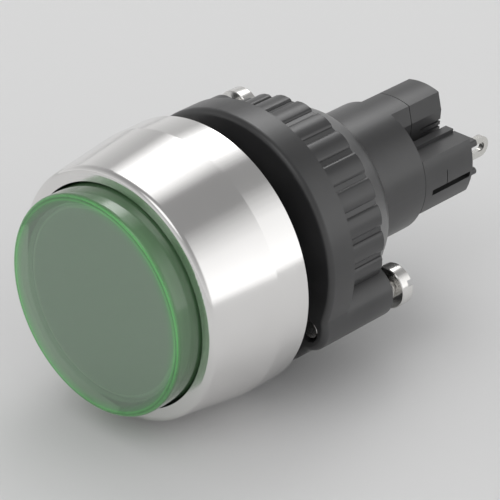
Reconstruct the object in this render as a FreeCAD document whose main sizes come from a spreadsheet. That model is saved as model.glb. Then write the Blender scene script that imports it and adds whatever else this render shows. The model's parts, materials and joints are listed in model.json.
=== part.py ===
import FreeCAD, Part
import os
import re
import Sketcher

# Panel pilot light for a 22.3 mm cut-out.
# The light's axis is Y and its lens faces -Y. The origin is on the axis, in the panel's front face.
# A station is a place along the axis: negative in front of the panel, positive behind it.

SIZES = (
    ("bezel_radius", 17.5, "largest radius of the bezel, at the panel"),
    ("bezel_depth", 14.8, "front face of the bezel in front of the panel"),
    ("bezel_land", 4.6, "straight stretch of the bezel next to the panel"),
    ("bezel_nose_radius", 16.2, "radius of the cone where it meets the front face"),
    ("bezel_bore", 14.47, "radius of the bore that takes the lens"),
    ("bezel_floor", 4.2, "thickness of the bezel's floor"),
    ("bezel_edge", 0.8, "rounding of the front edge"),
    ("panel_seal_radius", 15.5, "outer radius of the gasket"),
    ("panel_seal_thickness", 1.2, "gasket, pressed flush with the bezel's rear face"),
    ("seat_clearance", 0.15, "play of the fixed pieces in their seats"),
    ("thread_radius", 11.0, "outside of the threaded barrel"),
    ("thread_clearance", 0.06, "play of the nut on the barrel"),
    ("housing_clearance", 0.2, "play of the socket housing in the barrel"),
    ("barrel_end", 14.5, "rear end of the barrel"),
    ("barrel_lead_in", 0.9, "chamfer at the barrel's rear end"),
    ("barrel_flange", 2.0, "thickness of the flange that lies on the bezel's floor"),
    ("collar_length", 4.0, "collar of the barrel that carries the lens"),
    ("collar_clearance", 0.35, "play of the collar in the lens"),
    ("lens_gap", 0.32, "gap between the lens and the bezel's bore"),
    ("lens_proud", 3.56, "how far the lens stands out of the bezel"),
    ("lens_length", 11.0, "length of the lens along the axis"),
    ("lens_wall", 1.5, "side wall of the lens"),
    ("lens_face", 1.4, "front wall of the lens"),
    ("lens_edge", 0.5, "rounding of the lens's front rim"),
    ("lens_seal_section", 1.5, "diameter of the lens seal's section"),
    ("lens_seal_setback", 1.8, "middle of the lens seal behind the collar's front end"),
    ("lens_seal_clearance", 0.05, "play of the lens on its seal"),
    ("diffuser_gap", 0.3, "gap between the diffuser and the lens's front wall"),
    ("diffuser_clearance", 0.1, "play of the diffuser in the lens"),
    ("diffuser_wall", 1.0, "thickness of the diffuser"),
    ("diffuser_length", 5.2, "length of the diffuser along the axis"),
    ("diffuser_edge", 0.9, "rounding of the diffuser's front edge"),
    ("nut_front", 4.76, "front face of the nut behind the panel's front face"),
    ("nut_radius", 16.8, "radius of the nut's smooth flange"),
    ("nut_flange", 4.17, "length of the smooth flange"),
    ("nut_edge", 0.8, "rounding of the nut's front edge"),
    ("nut_step", 2.0, "how far the grooved stretch lies below the flange"),
    ("nut_land_end", 16.5, "rear end of the grooved stretch"),
    ("nut_land_drop", 0.5, "step from the lands down to the rear cone"),
    ("nut_rear", 21.1, "rear face of the nut"),
    ("nut_rear_radius", 11.5, "radius at the rear face"),
    ("nut_rear_edge", 0.35, "rounding of the nut's rear edge"),
    ("nut_thread_end", 17.6, "end of the nut's thread"),
    ("nut_lip_clearance", 0.4, "gap between the nut's rear lip and the socket housing"),
    ("groove_count", 26, "grooves round the nut"),
    ("groove_width", 0.7, "width of a groove"),
    ("groove_depth", 0.45, "depth of a groove"),
    ("groove_angle", 2.15, "how far the grooves are turned past the middle of the lugs"),
    ("groove_edge", 0.35, "rounding of the lands beside the grooves"),
    ("lug_angle", 30.5, "how far the lugs stand below the horizontal on the right"),
    ("lug_reach", 1.08, "how far the lugs stand out of the flange"),
    ("lug_radius", 3.63, "radius of a lug"),
    ("lug_corner", 1.2, "rounding of the corner between flange and lug"),
    ("lug_rear", 17.6, "lug's rear end"),
    ("lug_edge", 0.5, "chamfer of the lug's rear edge"),
    ("screw_inset", 1.6, "how far the screws' middles lie inside the flange"),
    ("screw_radius", 1.5, "shank of the clamp screw"),
    ("screw_clearance", 0.05, "play of the screw in its lug"),
    ("screw_length", 14.0, "shank of the clamp screw, head left out"),
    ("screw_point", 0.4, "chamfer at the screw's tip"),
    ("screw_head_radius", 2.75, "cheese head"),
    ("screw_head_height", 2.0, "cheese head"),
    ("screw_head_edge", 0.25, "rounding of the head's rear edge"),
    ("screw_standoff", 1.5, "gap between the lug and the head as it stands"),
    ("screw_slot_width", 0.8, "slot in the head"),
    ("screw_slot_depth", 0.9, "slot in the head"),
    ("screw_slot_angle", 24.0, "slot's angle above the horizontal"),
    ("spotface_clearance", 0.45, "room round the head in the nut's cone"),
    ("housing_radius", 8.8, "outside of the socket housing and the terminal block"),
    ("housing_front", 2.0, "front end of the socket housing"),
    ("housing_rear", 31.1, "rear end of the socket housing"),
    ("housing_pin_bore", 5.7, "bore that clears the lamp's bayonet pins"),
    ("housing_pin_bore_end", 16.0, "where that bore ends"),
    ("housing_cavity", 7.3, "radius of the rear cavity"),
    ("partition_front", 20.9, "front of the wall behind the lamp socket"),
    ("partition_rear", 22.1, "rear of the wall behind the lamp socket"),
    ("fin_seam", 34.5, "seam across the fin, where the housing ends and the block starts"),
    ("fin_gap", 0.1, "gap that shows as a line across the fin"),
    ("fin_right", 3.27, "right side of the fin at its crease"),
    ("fin_left", 2.85, "left side of the fin at its crease"),
    ("fin_crease", 6.0, "height of the crease along the fin's sides"),
    ("fin_lean", 0.65, "how far each side leans in above the crease"),
    ("fin_undercut", 0.2, "how far each side leans in below the crease"),
    ("fin_slit_height", 3.7, "middle of the lower slit along the fin's foot"),
    ("fin_slit_pitch", 0.8, "distance from the lower slit to the upper one"),
    ("fin_slit_width", 0.3, "slits along the fin's foot"),
    ("fin_slit_depth", 0.25, "slits along the fin's foot"),
    ("fin_slit_front", 36.4, "front end of the slits along the fin's foot"),
    ("block_rear", 40.3, "rear face of the terminal block"),
    ("bar_top", 3.5, "top face of the side bars above the axis"),
    ("bar_bottom", 3.93, "underside of the side bars below the axis"),
    ("ridge_width", 1.25, "low ridge along the top of each side bar"),
    ("ridge_height", 0.5, "low ridge along the top of each side bar"),
    ("ridge_gap", 0.85, "channel between the fin's crease and the ridge"),
    ("ridge_gap_depth", 1.05, "depth of that channel below the bar's top"),
    ("side_slot_top", 0.78, "top of the slot in the bar's side, below the axis"),
    ("side_slot_height", 0.78, "height of the slot in the bar's side"),
    ("side_slot_depth", 1.1, "depth of the slot in the bar's side"),
    ("side_slot_front", 32.6, "front end of the slot in the bar's side"),
    ("side_slot_margin", 0.4, "wall left behind the slot in the bar's side"),
    ("side_line_station", 35.3, "fine line across the bar's side above the slot"),
    ("side_line_width", 0.12, "fine line across the bar's side"),
    ("side_line_top", 1.15, "upper end of the fine line above the axis"),
    ("joint_chamfer", 0.15, "chamfer round the block where it closes the housing"),
    ("latch_inset", 0.62, "middle of the latch nub inside the housing's outside"),
    ("latch_drop", 1.35, "latch nub below the axis"),
    ("latch_radius", 0.5, "latch nub"),
    ("latch_length", 0.95, "latch nub behind the block"),
    ("plug_clearance", 0.1, "play of the block's plug in the housing"),
    ("hood_width", 4.2, "ledge over each terminal, inwards from the housing's outside"),
    ("hood_drop", 0.5, "ledge's top below the top of the bar"),
    ("hood_height", 0.95, "ledge over each terminal"),
    ("hood_length", 1.15, "ledge over each terminal"),
    ("hood_edge", 0.35, "rounding of the ledge's outer edges"),
    ("tab_inset", 2.9, "middle of the terminal tab inside the housing's outside"),
    ("tab_thickness", 0.8, "terminal tab"),
    ("tab_width", 2.8, "terminal tab"),
    ("tab_end", 46.35, "rear end of the terminal tabs"),
    ("tab_hole_width", 1.15, "oval hole in the tab"),
    ("tab_hole_length", 2.6, "oval hole in the tab"),
    ("tab_hole_margin", 0.8, "metal left between the hole and the tab's end"),
    ("tab_clearance", 0.05, "play of the terminals in their slots"),
    ("spring_plate_station", 26.4, "front face of the plate that the contact spring stands on"),
    ("spring_plate_reach", 1.9, "how far the plate passes the axis"),
    ("foot_station", 19.0, "front face of the foot that touches the socket sleeve"),
    ("sleeve_radius", 5.05, "outside of the socket sleeve"),
    ("sleeve_wall", 0.4, "sheet of the socket sleeve"),
    ("sleeve_front", 8.0, "front end of the socket sleeve"),
    ("bayonet_slot_width", 2.0, "slots of the socket sleeve"),
    ("bayonet_slot_shift", 2.4, "way-in slot beside the seat slot"),
    ("cap_clearance", 0.1, "play of the lamp cap in the sleeve"),
    ("cap_front", 7.4, "front end of the lamp cap"),
    ("cap_rear", 17.6, "rear end of the lamp cap"),
    ("cap_wall", 0.25, "sheet of the lamp cap"),
    ("pin_station", 12.2, "bayonet pins of the lamp"),
    ("pin_radius", 0.85, "bayonet pins of the lamp"),
    ("pin_reach", 5.45, "end of the bayonet pins from the axis"),
    ("lamp_push", 1.2, "how far the lamp is pushed in to free its pins"),
    ("glass_radius", 5.0, "bulb of the lamp"),
    ("glass_front", 9.0, "front end of the bulb in front of the panel"),
    ("glass_shoulder", 5.6, "where the bulb narrows to its neck"),
    ("glass_neck_end", 12.0, "end of the neck inside the cap"),
    ("glass_clearance", 0.05, "cement gap between neck and cap"),
    ("insulator_radius", 3.7, "glass insulator in the lamp's base"),
    ("insulator_end", 18.6, "rear end of the insulator"),
    ("lamp_contact_radius", 1.3, "centre contact of the lamp"),
    ("lamp_contact_end", 19.05, "rear end of the centre contact"),
    ("plunger_radius", 1.6, "stem of the contact plunger"),
    ("plunger_flange_radius", 2.4, "flange that keeps the plunger behind its wall"),
    ("plunger_flange", 0.5, "thickness of that flange"),
    ("plunger_play", 0.1, "gap between the flange and the wall as it stands"),
    ("plunger_clearance", 0.08, "play of the plunger in its hole"),
    ("spring_radius", 1.7, "middle of the contact spring's wire"),
    ("spring_wire", 0.4, "diameter of the spring's wire"),
    ("spring_turns", 3.0, "turns of the contact spring"),
    ("cutting_margin", 1.0, "how far cutting profiles run past the solid"),
)

document = FreeCAD.newDocument("PanelPilotLight")
sheet = document.addObject("Spreadsheet::Sheet", "Sizes")
for row, (alias, amount, note) in enumerate(SIZES, start=1):
    sheet.set("A%d" % row, alias)
    sheet.set("B%d" % row, str(amount))
    sheet.set("C%d" % row, note)
    sheet.setAlias("B%d" % row, alias)
document.recompute()

FUNCTIONS = ("cos", "sin", "sqrt")
PIECES = []


def bound(text):
    """Write an expression of size names as one that reads them from the sheet."""
    def point_at_sheet(match):
        word = match.group(0)
        return word if word in FUNCTIONS else "Sizes." + word
    return re.sub(r"[a-z][a-z_]*", point_at_sheet, text)


def number(text):
    """Work out an expression of size names."""
    return float(sheet.evalExpression(bound(text)))


def origin_plane(body, role):
    """Find one of a body's own origin planes."""
    return next(plane for plane in body.Origin.OriginFeatures if plane.Role == role)


def new_body(label):
    """Start a piece of the light as a body with a label of its own."""
    body = document.addObject("PartDesign::Body", "Body_" + label)
    body.Label = label
    PIECES.append(body)
    return body


def new_sketch(body, name, role, offset=None):
    """Put a sketch on an origin plane, moved along the plane's normal by an expression."""
    sketch = body.newObject("Sketcher::SketchObject", body.Label + "_" + name)
    sketch.AttachmentSupport = [(origin_plane(body, role), "")]
    sketch.MapMode = "FlatFace"
    if offset is not None:
        sketch.setExpression("AttachmentOffset.Base.z", bound(offset))
    return sketch


def pin_point(sketch, kind, geometry, point, text):
    """Hold one coordinate of a sketch point at an expression."""
    axis = -2 if kind == "DistanceX" else -1
    if text == "0":
        sketch.addConstraint(Sketcher.Constraint("PointOnObject", geometry, point, axis))
        return
    place = sketch.addConstraint(
        Sketcher.Constraint(kind, -1, 1, geometry, point, number(text)))
    sketch.setExpression("Constraints[%d]" % place, bound(text))


def draw_polygon(sketch, corners):
    """Draw a closed outline whose corners are pairs of expressions."""
    points = [FreeCAD.Vector(number(across), number(up), 0) for across, up in corners]
    first = sketch.GeometryCount
    for start, end in zip(points, points[1:] + points[:1]):
        sketch.addGeometry(Part.LineSegment(start, end), False)
    for index in range(len(points)):
        following = (index + 1) % len(points)
        sketch.addConstraint(
            Sketcher.Constraint("Coincident", first + index, 2, first + following, 1))
    for index, (across, up) in enumerate(corners):
        pin_point(sketch, "DistanceX", first + index, 1, across)
        pin_point(sketch, "DistanceY", first + index, 1, up)


def draw_circle(sketch, across, up, radius):
    """Draw a circle whose middle and radius are expressions."""
    middle = FreeCAD.Vector(number(across), number(up), 0)
    ring = Part.Circle(middle, FreeCAD.Vector(0, 0, 1), number(radius))
    geometry = sketch.addGeometry(ring, False)
    pin_point(sketch, "DistanceX", geometry, 3, across)
    pin_point(sketch, "DistanceY", geometry, 3, up)
    place = sketch.addConstraint(Sketcher.Constraint("Radius", geometry, number(radius)))
    sketch.setExpression("Constraints[%d]" % place, bound(radius))


def turn(body, name, outline, cut=False):
    """Turn an outline of (radius, station) corners round the light's axis."""
    sketch = new_sketch(body, name + "_outline", "XY_Plane")
    draw_polygon(sketch, outline)
    kind = "PartDesign::Groove" if cut else "PartDesign::Revolution"
    feature = body.newObject(kind, body.Label + "_" + name)
    feature.Profile = sketch
    feature.ReferenceAxis = (sketch, ["V_Axis"])
    feature.Angle = 360
    document.recompute()
    return feature


def extrude(body, name, sketch, length, cut=False, flip=True):
    """Pad a sketch, or pocket it, by an expression."""
    kind = "PartDesign::Pocket" if cut else "PartDesign::Pad"
    feature = body.newObject(kind, body.Label + "_" + name)
    feature.Profile = sketch
    feature.setExpression("Length", bound(length))
    feature.Reversed = flip
    document.recompute()
    return feature


def cross_section(body, name, station):
    """Start a sketch across the light's axis: right is +X, up is +Z."""
    return new_sketch(body, name + "_section", "XZ_Plane", "-(%s)" % station)


def add_length(body, name, sketch, start, end):
    """Pad a cross section from one station to another, towards the rear."""
    return extrude(body, name, sketch, "(%s) - (%s)" % (end, start), cut=False, flip=True)


def cut_length(body, name, sketch, start, end):
    """Cut a cross section from one station to another, towards the rear."""
    return extrude(body, name, sketch, "(%s) - (%s)" % (end, start), cut=True, flip=False)


def repeat_round(body, name, feature, count):
    """Repeat a feature evenly round the light's axis."""
    pattern = body.newObject("PartDesign::PolarPattern", body.Label + "_" + name)
    pattern.Originals = [feature]
    pattern.Axis = (next(line for line in body.Origin.OriginFeatures
                         if line.Role == "Y_Axis"), [""])
    pattern.Angle = 360
    if isinstance(count, str):
        pattern.setExpression("Occurrences", bound(count))
    else:
        pattern.Occurrences = count
    body.Tip = pattern
    document.recompute()
    return pattern


def rims(feature, circles):
    """Name the circular edges of a feature that lie at the given (radius, station) pairs."""
    wanted = [(number(radius), number(station)) for radius, station in circles]
    found = []
    for index, edge in enumerate(feature.Shape.Edges, start=1):
        if not isinstance(edge.Curve, Part.Circle):
            continue
        size = (edge.Curve.Radius, edge.Curve.Center.y)
        if any(abs(size[0] - r) < 0.01 and abs(size[1] - y) < 0.01 for r, y in wanted):
            found.append("Edge%d" % index)
    return found


def long_edges(feature, radius):
    """Name the straight edges parallel to the axis that lie at a radius."""
    wanted = number(radius)
    found = []
    for index, edge in enumerate(feature.Shape.Edges, start=1):
        if not isinstance(edge.Curve, Part.Line):
            continue
        start, end = (vertex.Point for vertex in (edge.Vertexes[0], edge.Vertexes[-1]))
        level = abs(start.x - end.x) < 0.001 and abs(start.z - end.z) < 0.001
        if level and abs((start.x ** 2 + start.z ** 2) ** 0.5 - wanted) < 0.01:
            found.append("Edge%d" % index)
    return found


def flat_edges(feature, station):
    """Name the edges that lie in the plane across the axis at a station."""
    wanted = number(station)
    found = []
    for index, edge in enumerate(feature.Shape.Edges, start=1):
        box = edge.BoundBox
        if abs(box.YMin - wanted) < 0.001 and abs(box.YMax - wanted) < 0.001:
            found.append("Edge%d" % index)
    return found


def dress(body, name, kind, feature, edges, size):
    """Round or chamfer edges of a feature by an expression."""
    finish = body.newObject("PartDesign::" + kind, body.Label + "_" + name)
    finish.Base = (feature, edges)
    finish.setExpression("Radius" if kind == "Fillet" else "Size", bound(size))
    document.recompute()
    return finish


BARREL_BORE = "housing_radius + housing_clearance"
LENS_FRONT = "-(bezel_depth + lens_proud)"
LENS_RADIUS = "bezel_bore - lens_gap"
LENS_BORE = LENS_RADIUS + " - lens_wall"
LENS_REAR = LENS_FRONT + " + lens_length"
FLANGE_FRONT = "-(bezel_floor + barrel_flange)"
COLLAR_FRONT = FLANGE_FRONT + " - collar_length"
COLLAR_RADIUS = LENS_BORE + " - collar_clearance"
LENS_SEAL_STATION = COLLAR_FRONT + " + lens_seal_setback"
LENS_SEAL_OUTSIDE = LENS_BORE + " - lens_seal_clearance"
LENS_SEAL_INSIDE = LENS_SEAL_OUTSIDE + " - lens_seal_section"
DIFFUSER_FRONT = LENS_FRONT + " + lens_face + diffuser_gap"
DIFFUSER_REAR = DIFFUSER_FRONT + " + diffuser_length"
DIFFUSER_RADIUS = LENS_BORE + " - diffuser_clearance"
FLANGE_REAR = "nut_front + nut_flange"
LAND_RADIUS = "nut_radius - nut_step"
LUG_CIRCLE = "nut_radius + lug_reach - lug_radius"
SCREW_CIRCLE = "nut_radius - screw_inset"
SCREW_HEAD_FRONT = "lug_rear + screw_standoff"
SLEEVE_BORE = "sleeve_radius - sleeve_wall"
CAP_RADIUS = SLEEVE_BORE + " - cap_clearance"
PLUNGER_FLANGE_FRONT = "partition_rear + plunger_play"
PLUNGER_FLANGE_REAR = PLUNGER_FLANGE_FRONT + " + plunger_flange"
PLATE_REAR = "spring_plate_station + tab_thickness"
TAB_PLACE = "(housing_radius - tab_inset)"
TAB_INSIDE = "(housing_radius - tab_inset - tab_thickness / 2)"
TAB_OUTSIDE = "(housing_radius - tab_inset + tab_thickness / 2)"
TAB_SLOT_HEIGHT = "tab_width / 2 + tab_clearance"


def make_bezel():
    """Turned metal ring: a cone with a bright front face, a bore for the lens and a floor."""
    body = new_body("bezel")
    ring = turn(body, "ring", [
        ("panel_seal_radius", "0"),
        ("bezel_radius", "0"),
        ("bezel_radius", "-bezel_land"),
        ("bezel_nose_radius", "-bezel_depth"),
        ("bezel_bore", "-bezel_depth"),
        ("bezel_bore", "-bezel_floor"),
        ("thread_radius + seat_clearance", "-bezel_floor"),
        ("thread_radius + seat_clearance", "-panel_seal_thickness"),
        ("panel_seal_radius", "-panel_seal_thickness"),
    ])
    front = rims(ring, [("bezel_nose_radius", "-bezel_depth")])
    dress(body, "front_edge", "Fillet", ring, front, "bezel_edge")


def make_panel_seal():
    """Flat gasket in the bezel's rear recess."""
    body = new_body("panel_seal")
    turn(body, "ring", [
        ("thread_radius + seat_clearance", "-panel_seal_thickness"),
        ("panel_seal_radius", "-panel_seal_thickness"),
        ("panel_seal_radius", "0"),
        ("thread_radius + seat_clearance", "0"),
    ])


def make_barrel():
    """Moulded body of the front: threaded barrel, flange in the bezel and collar for the lens."""
    body = new_body("barrel")
    tube = turn(body, "tube", [
        (BARREL_BORE, "barrel_end"),
        (BARREL_BORE, COLLAR_FRONT),
        (COLLAR_RADIUS, COLLAR_FRONT),
        (COLLAR_RADIUS, LENS_SEAL_STATION + " - lens_seal_section / 2 - seat_clearance"),
        (LENS_SEAL_INSIDE, LENS_SEAL_STATION + " - lens_seal_section / 2 - seat_clearance"),
        (LENS_SEAL_INSIDE, LENS_SEAL_STATION + " + lens_seal_section / 2 + seat_clearance"),
        (COLLAR_RADIUS, LENS_SEAL_STATION + " + lens_seal_section / 2 + seat_clearance"),
        (COLLAR_RADIUS, FLANGE_FRONT),
        ("bezel_bore - seat_clearance", FLANGE_FRONT),
        ("bezel_bore - seat_clearance", "-bezel_floor"),
        ("thread_radius", "-bezel_floor"),
        ("thread_radius", "barrel_end"),
    ])
    rear = rims(tube, [("thread_radius", "barrel_end")])
    dress(body, "lead_in", "Chamfer", tube, rear, "barrel_lead_in")


def make_lens():
    """Clear green cup with a flat front and a plain side."""
    body = new_body("lens_cap")
    cup = turn(body, "cup", [
        ("0", LENS_FRONT),
        (LENS_RADIUS, LENS_FRONT),
        (LENS_RADIUS, LENS_REAR),
        (LENS_BORE, LENS_REAR),
        (LENS_BORE, LENS_FRONT + " + lens_face"),
        ("0", LENS_FRONT + " + lens_face"),
    ])
    rim = rims(cup, [(LENS_RADIUS, LENS_FRONT)])
    dress(body, "rim", "Fillet", cup, rim, "lens_edge")


def make_diffuser():
    """Pale cup pushed into the lens, which spreads the lamp's light."""
    body = new_body("diffuser")
    cup = turn(body, "cup", [
        ("0", DIFFUSER_FRONT),
        (DIFFUSER_RADIUS, DIFFUSER_FRONT),
        (DIFFUSER_RADIUS, DIFFUSER_REAR),
        (DIFFUSER_RADIUS + " - diffuser_wall", DIFFUSER_REAR),
        (DIFFUSER_RADIUS + " - diffuser_wall", DIFFUSER_FRONT + " + diffuser_wall"),
        ("0", DIFFUSER_FRONT + " + diffuser_wall"),
    ])
    rim = rims(cup, [(DIFFUSER_RADIUS, DIFFUSER_FRONT)])
    dress(body, "rim", "Fillet", cup, rim, "diffuser_edge")


def make_lens_seal():
    """Rubber ring in the collar's groove, which grips and seals the lens."""
    ring = document.addObject("Part::Torus", "Ring_lens_seal")
    ring.Label = "lens_seal"
    ring.Placement = FreeCAD.Placement(
        FreeCAD.Vector(0, number(LENS_SEAL_STATION), 0),
        FreeCAD.Rotation(FreeCAD.Vector(1, 0, 0), 90))
    ring.setExpression("Placement.Base.y", bound(LENS_SEAL_STATION))
    ring.setExpression("Radius1", bound(LENS_SEAL_OUTSIDE + " - lens_seal_section / 2"))
    ring.setExpression("Radius2", bound("lens_seal_section / 2"))
    PIECES.append(ring)


def make_fixing_nut():
    """Moulded nut with grooves for the fingers and two lugs for the clamp screws."""
    body = new_body("fixing_nut")
    body.Placement = FreeCAD.Placement(
        FreeCAD.Vector(), FreeCAD.Rotation(FreeCAD.Vector(0, 1, 0), number("lug_angle")))
    body.setExpression("Placement.Rotation.Angle", bound("lug_angle"))
    turn(body, "flange", [
        ("0", "nut_front"),
        ("nut_radius", "nut_front"),
        ("nut_radius", FLANGE_REAR),
        ("0", FLANGE_REAR),
    ])
    front_section = cross_section(body, "lug_fronts", "nut_front")
    draw_circle(front_section, LUG_CIRCLE, "0", "lug_radius")
    draw_circle(front_section, "-(%s)" % LUG_CIRCLE, "0", "lug_radius")
    fronts = add_length(body, "lug_fronts", front_section, "nut_front", FLANGE_REAR)
    cornered = dress(body, "lug_corners", "Fillet", fronts,
                     long_edges(fronts, "nut_radius"), "lug_corner")
    dress(body, "front_edge", "Fillet", cornered, flat_edges(cornered, "nut_front"), "nut_edge")

    turn(body, "tail", [
        ("0", FLANGE_REAR),
        (LAND_RADIUS, FLANGE_REAR),
        (LAND_RADIUS, "nut_land_end"),
        (LAND_RADIUS + " - nut_land_drop", "nut_land_end"),
        ("nut_rear_radius", "nut_rear"),
        ("0", "nut_rear"),
    ])
    groove_section = cross_section(body, "groove", FLANGE_REAR)
    groove_section.setExpression("AttachmentOffset.Rotation.Angle", bound("-groove_angle"))
    draw_polygon(groove_section, [
        (LAND_RADIUS + " - groove_depth", "-groove_width / 2"),
        ("nut_radius", "-groove_width / 2"),
        ("nut_radius", "groove_width / 2"),
        (LAND_RADIUS + " - groove_depth", "groove_width / 2"),
    ])
    groove = cut_length(body, "groove", groove_section, FLANGE_REAR, "nut_land_end")
    grooves = repeat_round(body, "grooves", groove, "groove_count")
    dress(body, "land_edges", "Fillet", grooves, long_edges(grooves, LAND_RADIUS), "groove_edge")

    lug_section = cross_section(body, "lugs", FLANGE_REAR)
    draw_circle(lug_section, LUG_CIRCLE, "0", "lug_radius")
    draw_circle(lug_section, "-(%s)" % LUG_CIRCLE, "0", "lug_radius")
    lugs = add_length(body, "lugs", lug_section, FLANGE_REAR, "lug_rear")
    dress(body, "lug_ends", "Chamfer", lugs, rims(lugs, [("lug_radius", "lug_rear")]), "lug_edge")

    spotface_section = cross_section(body, "spotfaces", "lug_rear")
    spotface_radius = "screw_head_radius + spotface_clearance"
    draw_circle(spotface_section, SCREW_CIRCLE, "0", spotface_radius)
    draw_circle(spotface_section, "-(%s)" % SCREW_CIRCLE, "0", spotface_radius)
    cut_length(body, "spotfaces", spotface_section, "lug_rear", "nut_rear + cutting_margin")

    bored = turn(body, "bore", [
        ("0", "nut_front - cutting_margin"),
        ("thread_radius + thread_clearance", "nut_front - cutting_margin"),
        ("thread_radius + thread_clearance", "nut_thread_end"),
        ("housing_radius + nut_lip_clearance", "nut_thread_end"),
        ("housing_radius + nut_lip_clearance", "nut_rear + cutting_margin"),
        ("0", "nut_rear + cutting_margin"),
    ], cut=True)
    dress(body, "rear_edge", "Fillet", bored,
          rims(bored, [("nut_rear_radius", "nut_rear")]), "nut_rear_edge")

    hole_section = cross_section(body, "screw_holes", "nut_front - cutting_margin")
    draw_circle(hole_section, SCREW_CIRCLE, "0", "screw_radius + screw_clearance")
    draw_circle(hole_section, "-(%s)" % SCREW_CIRCLE, "0", "screw_radius + screw_clearance")
    cut_length(body, "screw_holes", hole_section,
               "nut_front - cutting_margin", "nut_rear + cutting_margin")


def make_clamp_screw(label, side):
    """Slotted cheese head screw, parallel to the light's axis, in the lug on one side."""
    body = new_body(label)
    body.Placement = FreeCAD.Placement(
        FreeCAD.Vector(), FreeCAD.Rotation(FreeCAD.Vector(0, -1, 0), number("screw_slot_angle")))
    body.setExpression("Placement.Base.x", bound("%d * (%s) * cos(lug_angle)" % (side, SCREW_CIRCLE)))
    body.setExpression("Placement.Base.z", bound("-%d * (%s) * sin(lug_angle)" % (side, SCREW_CIRCLE)))
    body.setExpression("Placement.Rotation.Angle", bound("screw_slot_angle"))
    tip = SCREW_HEAD_FRONT + " - screw_length"
    head_rear = SCREW_HEAD_FRONT + " + screw_head_height"
    blank = turn(body, "blank", [
        ("0", tip),
        ("screw_radius", tip),
        ("screw_radius", SCREW_HEAD_FRONT),
        ("screw_head_radius", SCREW_HEAD_FRONT),
        ("screw_head_radius", head_rear),
        ("0", head_rear),
    ])
    pointed = dress(body, "point", "Chamfer", blank,
                    rims(blank, [("screw_radius", tip)]), "screw_point")
    dress(body, "head_edge", "Fillet", pointed,
          rims(pointed, [("screw_head_radius", head_rear)]), "screw_head_edge")
    slot_section = cross_section(body, "slot", head_rear + " - screw_slot_depth")
    draw_polygon(slot_section, [
        ("-(screw_head_radius + cutting_margin)", "-screw_slot_width / 2"),
        ("screw_head_radius + cutting_margin", "-screw_slot_width / 2"),
        ("screw_head_radius + cutting_margin", "screw_slot_width / 2"),
        ("-(screw_head_radius + cutting_margin)", "screw_slot_width / 2"),
    ])
    cut_length(body, "slot", slot_section, "0", "screw_slot_depth + cutting_margin")


def make_socket_housing():
    """Black cylinder behind the nut, which holds the lamp socket and ends in a stub of the fin."""
    body = new_body("socket_housing")
    turn(body, "tube", [
        ("housing_pin_bore", "housing_front"),
        ("housing_radius", "housing_front"),
        ("housing_radius", "housing_rear"),
        ("housing_cavity", "housing_rear"),
        ("housing_cavity", "partition_rear"),
        ("plunger_radius + plunger_clearance", "partition_rear"),
        ("plunger_radius + plunger_clearance", "partition_front"),
        ("sleeve_radius", "partition_front"),
        ("sleeve_radius", "housing_pin_bore_end"),
        ("housing_pin_bore", "housing_pin_bore_end"),
    ])
    fin_section = cross_section(body, "fin_stub", "housing_rear")
    draw_polygon(fin_section, [
        ("-(fin_left - fin_undercut)", "bar_top"),
        ("fin_right - fin_undercut", "bar_top"),
        ("fin_right", "fin_crease"),
        ("fin_right - fin_lean", "housing_radius"),
        ("-(fin_left - fin_lean)", "housing_radius"),
        ("-fin_left", "fin_crease"),
    ])
    add_length(body, "fin_stub", fin_section, "housing_rear", "fin_seam")
    turn(body, "fin_trim", [
        ("housing_radius", "housing_rear"),
        ("housing_radius + cutting_margin", "housing_rear"),
        ("housing_radius + cutting_margin", "fin_seam + cutting_margin"),
        ("housing_radius", "fin_seam + cutting_margin"),
    ], cut=True)

    channel_section = cross_section(body, "terminal_channel", "foot_station - tab_clearance")
    draw_polygon(channel_section, [
        ("-(%s + tab_clearance)" % TAB_OUTSIDE, "-(%s)" % TAB_SLOT_HEIGHT),
        ("-(%s)" % SLEEVE_BORE, "-(%s)" % TAB_SLOT_HEIGHT),
        ("-(%s)" % SLEEVE_BORE, TAB_SLOT_HEIGHT),
        ("-(%s + tab_clearance)" % TAB_OUTSIDE, TAB_SLOT_HEIGHT),
    ])
    cut_length(body, "terminal_channel", channel_section,
               "foot_station - tab_clearance", "partition_rear + cutting_margin")


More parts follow.
